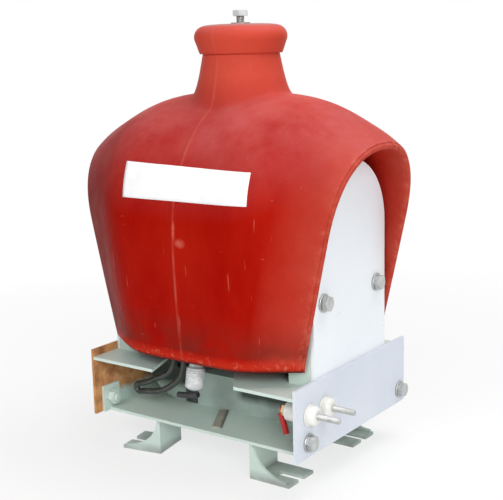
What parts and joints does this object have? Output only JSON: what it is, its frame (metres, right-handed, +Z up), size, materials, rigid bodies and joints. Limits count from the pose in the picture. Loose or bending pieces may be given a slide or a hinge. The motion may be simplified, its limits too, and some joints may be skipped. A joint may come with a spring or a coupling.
{
  "type": "indoor resin-cast potential transformer",
  "caption": "Red cast resin potential transformer with hooded ends, a neck with a high voltage terminal, and a bolted sheet steel base on slotted feet.",
  "frame": {"origin": "on the floor under the feet, below the middle of the resin body", "axes": "+Z up, +X towards the end with the two low voltage terminals, -Y towards the open front of the base"},
  "size_m": [0.308, 0.222, 0.4238],
  "materials": {
    "red_resin": "glossy cast epoxy with a light bloom and scratches",
    "green_paint": "light grey-green paint on sheet steel",
    "white_paint": "white paint, satin",
    "rusty_steel": "rust and red-brown primer, matt",
    "zinc_steel": "zinc plated fasteners",
    "core_steel": "dark varnished core steel",
    "strap_steel": "blued steel band",
    "brass": "dull brass",
    "white_nylon": "moulded white insulation",
    "lead_sleeve": "pale sleeve",
    "red_sleeve": "red insulating sleeve",
    "black_rubber": "black rubber",
    "grey_packing": "grey-brown packing strip"
  },
  "bodies": {
    "root": {"resin_body": "red_resin", "hv_insert": "brass", "hv_terminal_bolt": "zinc_steel", "core_ring": "core_steel", "core_strap": "strap_steel", "end_plate_left": "rusty_steel", "end_plate_right": "white_paint", "base_tray": "green_paint", "top_plate_front": "green_paint", "top_plate_rear": "green_paint", "foot_front_left": "green_paint", "foot_front_right": "green_paint", "foot_rear_left": "green_paint", "foot_rear_right": "green_paint", "end_frame_left": "green_paint", "end_frame_right": "green_paint", "arch_plate_left": "white_paint", "arch_plate_right": "white_paint", "cover_bolts_left": "zinc_steel", "cover_bolts_right": "zinc_steel", "end_bolts_left": "zinc_steel", "end_bolts_right": "zinc_steel", "lv_bush_1": "white_nylon", "lv_bush_2": "white_nylon", "lv_stud_1": "zinc_steel", "lv_stud_2": "zinc_steel", "lv_nut_1": "brass", "lv_nut_2": "brass", "lead_gland": "lead_sleeve", "lv_lug": "red_sleeve", "gland_tail": "black_rubber", "lead_loop": "black_rubber", "floor_strip": "grey_packing"}
  },
  "joints": []
}
